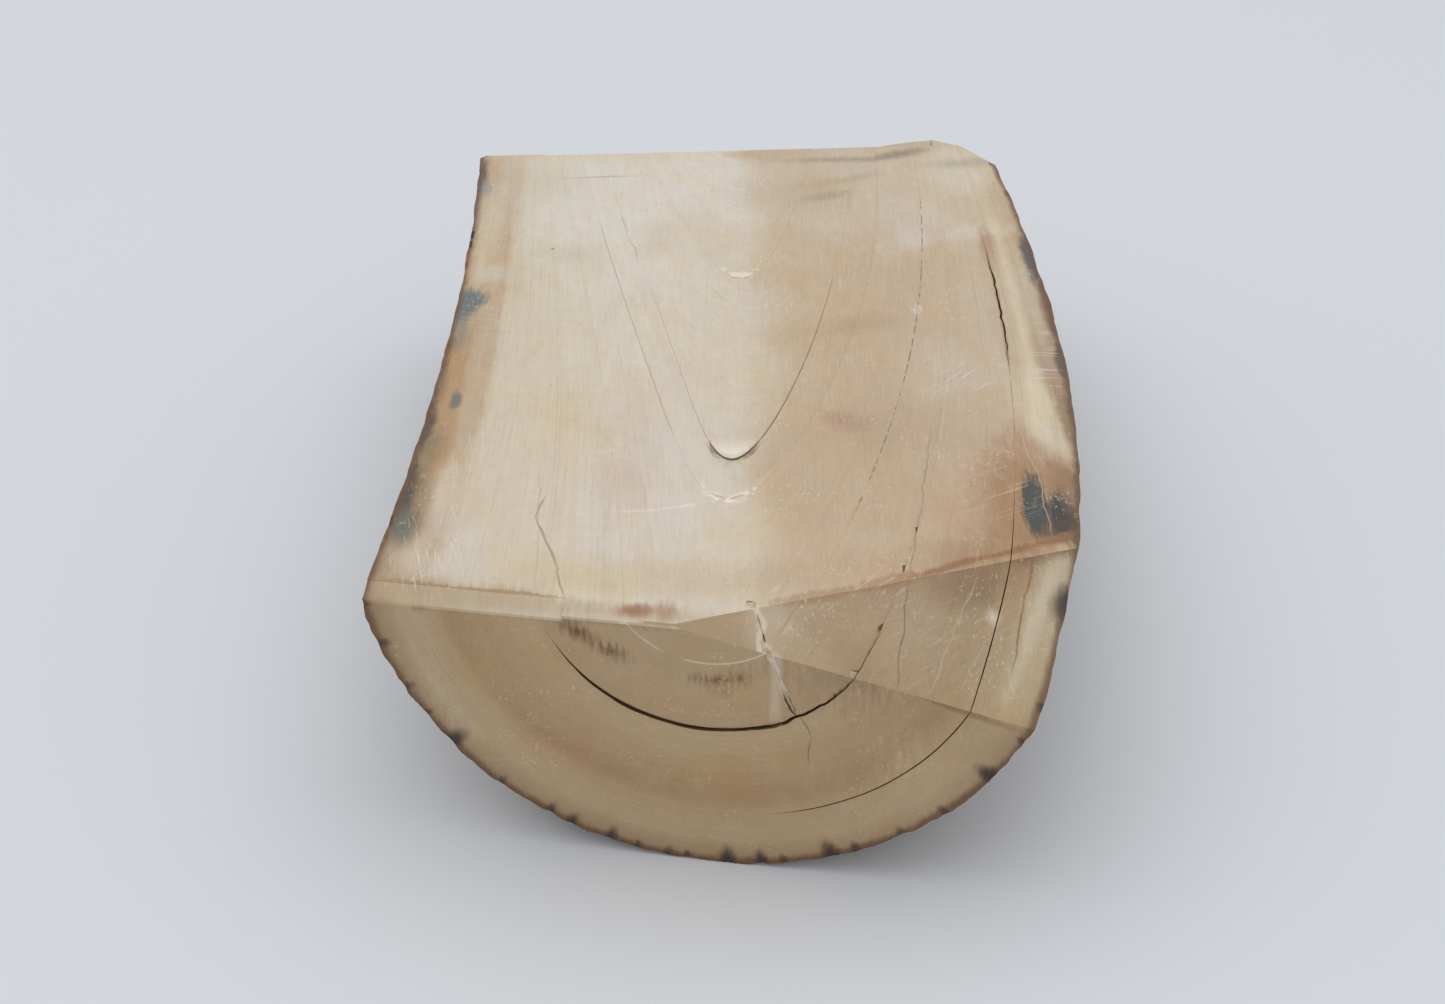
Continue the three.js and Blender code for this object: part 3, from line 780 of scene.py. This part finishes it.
    # The cross-hatch that the dentine of a tusk shows on a face cut across it.
    turn_mm = finish.math("MULTIPLY", angle, HATCH_TURN)
    leaning = finish.math("MULTIPLY", away, HATCH_LEAN)
    one_way = finish.math("MULTIPLY", finish.math("ADD", turn_mm, leaning), HATCH_PITCH)
    one_way = finish.math("SINE", one_way)
    other_way = finish.math("MULTIPLY", finish.math("SUBTRACT", turn_mm, leaning), HATCH_PITCH)
    other_way = finish.math("SINE", other_way)
    hatch = finish.math("MULTIPLY", finish.math("ADD", one_way, other_way),
                        finish.band(finish.noise(6.0), 0.35, 0.65))
    hatched = finish.most(on_facet, finish.math("MULTIPLY", on_front, finish.band(x, -10.0, 30.0)))
    in_dentine = finish.band(under_skin, 7.0, 9.0)
    hatch = finish.math("MULTIPLY", finish.both(hatch, hatched, in_dentine), 0.022)
    light = finish.math("ADD", finish.math("ADD", grain, fibre), finish.math("ADD", mottle, hatch))
    lighter = finish.math("ADD", light, 1.0)
    warm = finish.band(finish.noise((7, 16, 7), 6.0, 0.7, 12), 0.42, 0.66)
    green = finish.math("MULTIPLY", finish.math("MULTIPLY_ADD", warm, -0.05, 1.01), lighter)
    blue = finish.math("MULTIPLY", finish.math("MULTIPLY_ADD", warm, -0.13, 1.01), lighter)
    colour = finish.mix(1.0, colour, finish.add("CombineColor", lighter, green, blue), "MULTIPLY")

    # Pores, and chalky dust caught in the grain.
    fine_dust = finish.noise((0.5, 1.1, 0.5), 2.0, 0.6)
    dusty = finish.band(finish.noise(11.0, 3.0, 0.6), 0.44, 0.62)
    pale_dust = finish.both(finish.band(fine_dust, 0.6, 0.72), dusty)
    colour = finish.mix(finish.math("MULTIPLY", pale_dust, 0.4), colour, shade(226, 216, 202))
    pores = finish.both(finish.band(finish.noise((0.6, 0.9, 0.6), 1.0, at=(5, 2, 1)), 0.25, 0.17), on_top)
    colour = finish.mix(finish.math("MULTIPLY", pores, 0.45), colour, shade(132, 106, 80))

    # Scratches of the sander, whitish, in a few directions and places.
    scratches = 0.0
    for at_x, at_y, half_x, half_y, turn, amount in (
        (37, -10, 9, 9, -38, 0.5), (-49, -66, 7, 12, 12, 0.5), (-48, 12, 5, 8, 80, 0.35),
        (54, -5, 4, 16, 84, 0.5), (40, -48, 8, 10, -62, 0.35), (20, 30, 26, 60, -4, 0.16),
        (-15, 0, 34, 80, 3, 0.12), (30, -82, 16, 12, -55, 0.1), (47, -76, 6, 12, 68, 0.2),
        (-46, -40, 4, 16, 8, 0.35), (10, -76, 14, 6, -40, 0.25),
    ):
        line = finish.noise((0.4, 10, 0.4), 1.0, 0.5, turn)
        patch = finish.math("ADD", finish.spot(flat, at_x, at_y, half_x, half_y), ragged)
        mark = finish.both(finish.band(line, 0.6, 0.72), finish.band(patch, 1.3, 0.5))
        scratches = finish.math("MAXIMUM", finish.math("MULTIPLY", mark, amount), scratches)
    colour = finish.mix(scratches, colour, shade(226, 216, 202))

    # The outermost skin stains the rim of every face, darkest at the grooves of the bark.
    spots = 0.0
    for degrees, deep in GROOVES:
        beside = finish.math("SUBTRACT", angle, degrees)
        spot = finish.add("CombineXYZ", finish.math("DIVIDE", beside, 0.4 + 1.1 * deep * deep),
                          finish.math("DIVIDE", under_skin, 0.9 + 2.0 * deep * deep))
        spot = finish.math("MULTIPLY_ADD", ragged, 0.8, finish.vector("LENGTH", spot))
        spot = finish.math("MULTIPLY", finish.band(spot, 1.6, 0.3), 0.5 + deep / 2)
        spots = finish.math("MAXIMUM", spot, spots)
    across_faces = finish.most(on_front, on_facet, on_back)
    spots = finish.math("MULTIPLY", spots, across_faces)
    rim = finish.band(finish.math("ADD", under_skin, finish.math("MULTIPLY", ragged, 1.4)), 1.6, 0.2)
    colour = finish.mix(finish.math("MULTIPLY", rim, 0.85), colour, shade(94, 68, 50))
    halo = finish.band(finish.math("SUBTRACT", under_skin, finish.math("MULTIPLY", spots, 4.0)), 1.8, -2.6)
    colour = finish.mix(finish.math("MULTIPLY", halo, 0.45), colour, shade(142, 96, 54))
    colour = finish.mix(finish.math("MULTIPLY", spots, 0.93), colour, shade(48, 44, 44))

    # Where the saw didn't reach: the walls of the cracks between the layers, painted dark brown.
    wall = finish.mix(finish.noise(1.5, 3.0), shade(84, 58, 40), shade(128, 98, 70))
    chalk = finish.mix(finish.noise(0.5, 4.0, 0.7), shade(190, 168, 140), shade(236, 228, 216))
    high = finish.band(z, 27.0, 32.0)
    for at_x, at_y, half in CHALKY:
        away_from = finish.spot(place, at_x, at_y, half, half)
        wall = finish.mix(finish.both(finish.band(away_from, 1.2, 0.7), high), wall, chalk)
        around = finish.both(finish.band(finish.math("ADD", away_from, ragged), 1.0, 0.3), high)
        colour = finish.mix(finish.math("MULTIPLY", around, 0.35), colour, chalk)
    colour = finish.mix(sawn, wall, colour)
    out = tree.nodes.new("NodeGroupOutput")
    finish.put(out.inputs["Colour"], colour)
    rough = finish.math("ADD", finish.math("MULTIPLY_ADD", cloud, 0.16, 0.4),
                        finish.math("MULTIPLY", scratches, 0.3))
    finish.put(out.inputs["Roughness"], finish.add("MapRange", sawn, 0.0, 1.0, 0.9, rough))
    height = finish.math("ADD", finish.math("MULTIPLY", grain, 0.06), finish.math("MULTIPLY", mottle, 0.05))
    finish.put(out.inputs["Height"], height)
    finish.put(out.inputs["Sawn"], sawn)
    return tree


SAWN_IVORY = sawn_ivory()


def skin_colour(finish, angle):
    """The rind's own colours: brown, with blue-black and tan streaks that run along the tusk."""
    streaks = finish.math("ADD", finish.math("MULTIPLY", finish.noise((3.8, 30, 3.8), 5.0, 0.65), 0.6),
                          finish.math("MULTIPLY", finish.noise((1.1, 16, 1.1), 4.0, 0.6), 0.4))
    patches = finish.noise((13, 28, 13), 3.0, 0.6)
    colour = finish.mix(finish.band(streaks, 0.36, 0.60), shade(92, 68, 50), shade(148, 119, 86))
    blue = finish.both(finish.band(patches, 0.52, 0.64), finish.band(streaks, 0.66, 0.4))
    colour = finish.mix(blue, colour, shade(52, 56, 62))
    pale = finish.both(finish.band(patches, 0.42, 0.28), finish.band(streaks, 0.45, 0.7))
    colour = finish.mix(finish.math("MULTIPLY", pale, 0.8), colour, shade(176, 152, 118))
    dark = 0.0
    wander = finish.swing(finish.noise(24.0), 6.0)
    for degrees, deep in GROOVES:
        beside = finish.math("SUBTRACT", finish.math("ADD", angle, wander), degrees)
        beside = finish.math("ABSOLUTE", beside)
        dark = finish.math("MAXIMUM", finish.math("MULTIPLY", finish.band(beside, 1.3, 0.3), deep), dark)
    dark = finish.math("MULTIPLY", dark, finish.band(streaks, 0.62, 0.42))
    return finish.mix(dark, colour, shade(38, 35, 36)), streaks


LIP_FADE = 3  # mm over which the lip of a joint fades in and out


def cone_finish(name, bark=False, lips=()):
    """The finish of one layer: the sawn faces, with the lips of the joints that it lies against."""
    material = bpy.data.materials.new(name)
    material.use_nodes = True
    tree = material.node_tree
    shader = tree.nodes["Principled BSDF"]
    finish = Finish(tree)
    ivory = tree.nodes.new("ShaderNodeGroup")
    ivory.node_tree = SAWN_IVORY
    colour, rough, height, sawn = ivory.outputs
    place = finish.vector("SCALE", finish.where.outputs["Object"], 1 / MM)
    x, y, _ = finish.parts(place)
    coarse = finish.noise(1.3, 3.0, 0.6)
    for cone, half_width, offset, tone, strength, low_y, high_y, side, dashes in lips:
        away = polar(finish, place, cone["left"])[0]
        run = finish.math("SUBTRACT", y, CONE_Y)
        slope = finish.math("MULTIPLY_ADD", run, cone["bend"], cone["slope"])
        skin = finish.math("MULTIPLY_ADD", run, slope, cone["start"] + offset)
        ragged = finish.swing(coarse, half_width)
        apart = finish.math("ABSOLUTE", finish.math("ADD", finish.math("SUBTRACT", away, skin), ragged))
        mark = finish.both(
            finish.band(apart, half_width, half_width * 0.45),
            finish.band(y, low_y - LIP_FADE, low_y + LIP_FADE),
            finish.band(y, high_y + LIP_FADE, high_y - LIP_FADE),
            sawn,
        )
        if side:
            mark = finish.math("MULTIPLY", mark, finish.band(finish.math("MULTIPLY", x, side), -1.0, 1.0))
        if dashes:
            mark = finish.math("MULTIPLY", mark, finish.band(finish.noise(dashes), 0.42, 0.56))
        colour = finish.mix(finish.math("MULTIPLY", mark, strength), colour, shade(*tone))
    if bark:
        _, angle, under_skin, _ = polar(finish, place)
        rind, streaks = skin_colour(finish, angle)
        outside = finish.both(finish.less(sawn), finish.band(under_skin, 3.6, 2.4))
        colour = finish.mix(outside, colour, rind)
        height = finish.math("MULTIPLY_ADD", finish.both(streaks, outside), 0.25, height)
        height = finish.math("MULTIPLY_ADD", finish.both(finish.noise(0.8, 4.0), outside), 0.1, height)
        rough = finish.add("MapRange", outside, 0.0, 1.0, rough, 0.62)
    finish.put(shader.inputs["Base Color"], colour)
    finish.put(shader.inputs["Roughness"], rough)
    bump = tree.nodes.new("ShaderNodeBump")
    bump.inputs["Distance"].default_value = MM
    finish.put(bump.inputs["Height"], height)
    finish.put(shader.inputs["Normal"], bump.outputs["Normal"])
    shader.inputs["IOR"].default_value = 1.54
    shader.inputs["Specular IOR Level"].default_value = 0.35
    return material


def dress(piece, material):
    piece.data.materials.clear()
    piece.data.materials.append(material)


bark = grown_bar("bark_rind", tusk_radius, sides=BARK_SIDES)
push_stretched(bark, RIDGE_DEPTH, waves("bark_ridges", 2.6), 9)
push(bark, LUMP_DEPTH, texture=waves("bark_lumps", 11.0, depth=3), texture_coords="LOCAL", mid_level=0.5)
weigh(bark, "grooves", groove_weight)
push(bark, -GROOVE_DEPTH, vertex_group="grooves", mid_level=0.0)

CEMENTUM_JOINT = {"start": 46.2, "slope": 0.037, "bend": -0.0001, "left": 0.0}
outer_dentine = grow_inside(bark, "outer_dentine_cone", CEMENTUM_JOINT, wander=0.5)

# The few places where a ridge of the bark still reaches below the floor are pressed flat on it.
pick(bark)
bpy.ops.object.mode_set(mode="EDIT")
select_where(lambda place: place.z < 0)
bpy.ops.transform.resize(value=(1, 1, 0), center_override=(0, 0, 0))
bpy.ops.object.mode_set(mode="OBJECT")
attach(bark, "root")
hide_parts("bark")
dress(bark, cone_finish("bark_finish", bark=True))

# ---------------------------------------------------------------------------------------------------
# The outer dentine: two cones of hard ivory under the bark. A drying crack parts them, open at the
# right of the front face and in the right of the sawn top, and shut elsewhere.
# ---------------------------------------------------------------------------------------------------


def outer_crack_opens(angle, y):
    front = rise(angle, 10, 24) * rise(-y, 40, 80)
    top = 0.8 * rise(angle, 62, 72) * rise(y, -8, 8) * rise(-y, -38, -26)
    return max(0.45 * front, top)


OUTER_CRACK = {"start": 44.0, "slope": 0.05, "bend": -0.00015, "left": 0.0,
               "open": outer_crack_opens, "jag": lambda angle, y: rise(y, -20, 0) * rise(angle, 50, 65)}
HAIRLINE = {"start": 38.5, "slope": 0.07, "bend": -0.0002, "left": 0.0}
# The lips of the joints: cone, half width, offset, colour, strength, from y, to y, side, dash length.
HAIRLINE_LIP = (HAIRLINE, 0.12, 0.0, (206, 188, 162), 0.5, -84, -44, 1, 7)
OUTER_LIPS = (
    (OUTER_CRACK, 0.6, 0.0, (170, 138, 114), 0.6, -6, 46, 1, 0),
    (OUTER_CRACK, 0.16, 0.0, (120, 82, 58), 0.8, -8, 40, 1, 0),
    (OUTER_CRACK, 0.12, 0.0, (150, 118, 92), 0.7, -36, -2, 1, 5),
    HAIRLINE_LIP,
)
outer_rim = grow_inside(outer_dentine, "rim_dentine_cone", OUTER_CRACK, opened=0.38, jag=1.2)
middle = grow_inside(outer_rim, "middle_dentine_cone", HAIRLINE)
for piece, node in ((outer_dentine, "outer_dentine"), (outer_rim, "rim_cone")):
    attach(piece, "root")
    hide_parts(node)
    dress(piece, cone_finish(node + "_finish", lips=OUTER_LIPS))

# ---------------------------------------------------------------------------------------------------
# The middle dentine: three cones. The ring crack between the first two gapes on the front face, where
# the block dried fastest, and a short radial check runs up from it to the facet.
# ---------------------------------------------------------------------------------------------------


def ring_crack_opens(angle, y):
    round_front = rise(angle, -66, -30) * rise(-angle, -74, -8)
    return round_front * rise(-y, 40, 82)


RING_CRACK = {"start": 27.0, "slope": 0.15, "bend": -0.00035, "left": 0.0,
              "open": ring_crack_opens, "jag": lambda angle, y: rise(-y, 50, 80) * rise(angle, 8, 25)}
INNER_RING = {"start": 14.9, "slope": 0.223, "bend": -0.00046, "left": 0.0}
SECOND_TONGUE = {"start": 1.3, "slope": 0.29, "bend": -0.0006, "left": 1.8}
SECOND_TONGUE_LIP = (SECOND_TONGUE, 0.16, 0.0, (176, 156, 126), 0.5, -30, 50, -1, 0)
RING_LIPS = (
    HAIRLINE_LIP,
    (RING_CRACK, 0.14, 0.0, (214, 198, 178), 0.5, -34, 10, 1, 9),
    (RING_CRACK, 0.3, 0.0, (112, 80, 54), 0.55, -95, -84, 0, 4),
    (INNER_RING, 0.16, 0.0, (112, 106, 92), 0.75, -58, 64, 1, 2.4),
    (INNER_RING, 0.22, 0.0, (224, 212, 196), 0.55, -95, -84, 0, 6),
    (INNER_RING, 0.8, 0.0, (224, 212, 200), 0.85, 13, 15, 1, 0),
    SECOND_TONGUE_LIP,
    (SECOND_TONGUE, 0.2, 0.0, (226, 214, 200), 0.9, -52, -49, 0, 1.6),
)
ring = grow_inside(middle, "ring_dentine_cone", RING_CRACK, opened=0.62, jag=1.0)
inner = grow_inside(ring, "inner_dentine_cone", INNER_RING)
shell = grow_inside(inner, "tongue_shell_cone", SECOND_TONGUE, sides=72)
for piece, node in ((middle, "middle_cone"), (ring, "ring_cone"), (inner, "inner_cone")):
    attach(piece, "root")
    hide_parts(node)
    dress(piece, cone_finish(node + "_finish", lips=RING_LIPS))

# ---------------------------------------------------------------------------------------------------
# The tongue: the three youngest cones, which the long cut crosses near their tips and so shows as
# nested tongues. The crack round the middle one gapes at its tip.
# ---------------------------------------------------------------------------------------------------


def tongue_opens(angle, y):
    tip = rise(-y, 34.0, 36.5)
    return max(tip, 0.1 * rise(angle, 5, 20) * rise(-y, -30, 10))


TONGUE = {"start": 3.2, "slope": 0.169, "bend": -0.0001, "left": 2.3, "open": tongue_opens}
CORE_TIP = {"start": -6.8, "slope": 0.16, "bend": 0.0, "left": 2.2}
TONGUE_LIPS = (
    SECOND_TONGUE_LIP,
    (SECOND_TONGUE, 0.4, -0.2, (230, 220, 204), 0.85, -55, -48, 0, 1.4),
    (TONGUE, 0.10, 0.0, (128, 98, 66), 0.6, -38, 26, 1, 0),
    (TONGUE, 0.08, 0.0, (170, 142, 108), 0.4, -38, 20, -1, 0),
    # At the tongue's tip: a pale rim of crumbled chalky ivory, lightened further as painted light on its
    # raised edge, and outside it a dark line of painted shadow under the small step there.
    (TONGUE, 0.6, -0.55, (230, 220, 204), 0.9, -43, -35, 0, 0),
    (TONGUE, 0.2, 0.16, (104, 70, 48), 0.8, -42, -36, 0, 0),
    (CORE_TIP, 0.35, -0.2, (228, 218, 202), 0.85, 24, 31, 0, 1.6),
    (CORE_TIP, 0.06, 0.06, (110, 84, 60), 0.7, 26, 28, 0, 1.5),
)
tongue = grow_inside(shell, "tongue_cone", TONGUE, gap=0.01, opened=0.3, sides=72, wander=0.12)
core = grow_inside(tongue, "core_tip_cone", CORE_TIP, sides=48, wander=0.12)
saw_off(core)
for piece, node in ((shell, "tongue_shell"), (tongue, "tongue"), (core, "core_tip")):
    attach(piece, "root")
    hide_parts(node)
    dress(piece, cone_finish(node + "_finish", lips=TONGUE_LIPS))

bpy.data.objects.remove(saw_waste)

# ---------------------------------------------------------------------------------------------------
# Chips: where the ivory flaked as it dried, at the tips of the tongues and along a radial check that
# runs from the sawn top down the facet and the front face into the ring crack. Each flake left a pit.
# ---------------------------------------------------------------------------------------------------

CHIP_GRAIN = waves("chip_grain", 0.9, depth=3)


def flake(start, end, width, depth, facing):
    """What flaked off: a rough spindle from start to end that is sunk half its depth in the face."""
    pick_nothing()
    bpy.ops.mesh.primitive_ico_sphere_add(subdivisions=4, radius=0.5 * MM)
    lump = bpy.context.object
    along = Vector(end) - Vector(start)
    long = along.length + width / 2
    side = Vector(facing).cross(along).normalized()
    out = along.cross(side).normalized()
    turn = Matrix((side, out, along.normalized())).transposed().to_4x4()
    middle = Matrix.Translation((Vector(start) + Vector(end)) / 2 * MM)
    lump.matrix_world = middle @ turn @ Matrix.Diagonal((width, 2 * depth, long, 1.0))
    bpy.ops.object.transform_apply(location=True, rotation=True, scale=True)
    push(lump, 0.35 * width, texture=CHIP_GRAIN, texture_coords="LOCAL", mid_level=0.5)
    return lump


check = (
    ((0.2, -80.4, SAWN_TOP), (1.4, -82.2, 44.8), 1.5, 0.3, UP),
    ((1.4, -82.6, 44.7), (3.0, -88.4, 42.0), 0.3, 0.35, FACET_NORMAL),
    ((2.6, -87.8, 42.4), (3.6, -89.0, 40.4), 1.0, 0.4, FRONT),
    ((3.3, -89.0, 41.0), (5.2, -89.2, 35.4), 0.35, 0.5, FRONT),
    ((4.8, -89.2, 36.0), (7.2, -89.5, 30.8), 1.0, 0.7, FRONT),
)
tips = (
    (((-5.4, -50.2), (-3.4, -51.5), 0.6, 0.3), (shell, inner)),
    (((-2.4, -51.6), (0.0, -50.4), 0.6, 0.3), (shell, inner)),
    (((-1.8, 27.6), (-0.4, 26.8), 0.7, 0.35), (core, tongue)),
    (((0.2, 26.9), (1.4, 27.9), 0.5, 0.3), (core, tongue)),
    (((32.2, 15.4), (32.9, 13.2), 1.1, 0.5), (ring, inner)),
    (((-56.6, 84.6), (-55.0, 87.0), 2.0, 1.6), (bark,)),
    (((58.0, 38.0), (58.2, 34.0), 1.6, 1.4), (bark,)),
    (((56.0, 81.0), (57.0, 77.0), 2.0, 1.6), (bark,)),
    (((-56.6, -22.0), (-56.8, -19.0), 1.2, 1.2), (bark,)),
)
for start, end, width, depth, facing in check:
    lump = flake(start, end, width, depth, facing)
    combine(ring, lump, "DIFFERENCE", keep_tool=True)
    combine(inner, lump, "DIFFERENCE")
for (start, end, width, depth), pieces in tips:
    lump = flake((*start, SAWN_TOP), (*end, SAWN_TOP), width, depth, UP)
    for piece in pieces:
        combine(piece, lump, "DIFFERENCE", keep_tool=True)
    bpy.data.objects.remove(lump)

# ---------------------------------------------------------------------------------------------------
# The stage: a pale floor, a broad soft light overhead and to the left, and the camera.
# ---------------------------------------------------------------------------------------------------

pick_nothing()
bpy.ops.mesh.primitive_plane_add(size=3.0, location=(0, 0, 0))
floor = bpy.context.object
floor.name = "floor"
floor_finish = bpy.data.materials.new("floor_finish")
floor_finish.use_nodes = True
paper = Finish(floor_finish.node_tree)
paper_tone = paper.mix(paper.noise(300.0, 3.0), (0.668, 0.685, 0.715, 1), (0.683, 0.70, 0.73, 1))
paper_shader = floor_finish.node_tree.nodes["Principled BSDF"]
paper.put(paper_shader.inputs["Base Color"], paper_tone)
paper_shader.inputs["Roughness"].default_value = 0.7
paper_shader.inputs["Specular IOR Level"].default_value = 0.2
dress(floor, floor_finish)


def soft_light(name, place, aim, size, power):
    pick_nothing()
    turn = (Vector(place) - Vector(aim)).to_track_quat("Z", "Y").to_euler()
    bpy.ops.object.light_add(type="AREA", location=place, rotation=turn)
    light = bpy.context.object
    light.name = name
    light.data.shape = "RECTANGLE"
    light.data.size, light.data.size_y = size
    light.data.energy = power


soft_light("overhead", (-0.12, 0.15, 1.25), (0, 0, 0), (2.3, 1.9), 10.8)
soft_light("fill", (0.1, -1.3, 0.9), (0, 0, 0.02), (1.4, 0.9), 2.6)

world = bpy.data.worlds.new("studio")
world.use_nodes = True
world.node_tree.nodes["Background"].inputs["Color"].default_value = (0.945, 0.967, 0.995, 1)
world.node_tree.nodes["Background"].inputs["Strength"].default_value = 0.60
bpy.context.scene.world = world
bpy.context.scene.view_settings.view_transform = "Standard"

CAMERA_PLACE = Vector((-3.7, -340.3, 229.2))
CAMERA_TILT = 57.4  # degrees up from looking straight down
LENS = 53.0

camera_data = bpy.data.cameras.new("camera")
camera_data.lens = LENS
camera_data.sensor_width = 36.0
camera = bpy.data.objects.new("camera", camera_data)
camera.location = CAMERA_PLACE * MM
camera.rotation_euler = (math.radians(CAMERA_TILT), 0, 0)
bpy.context.scene.collection.objects.link(camera)
bpy.context.scene.camera = camera
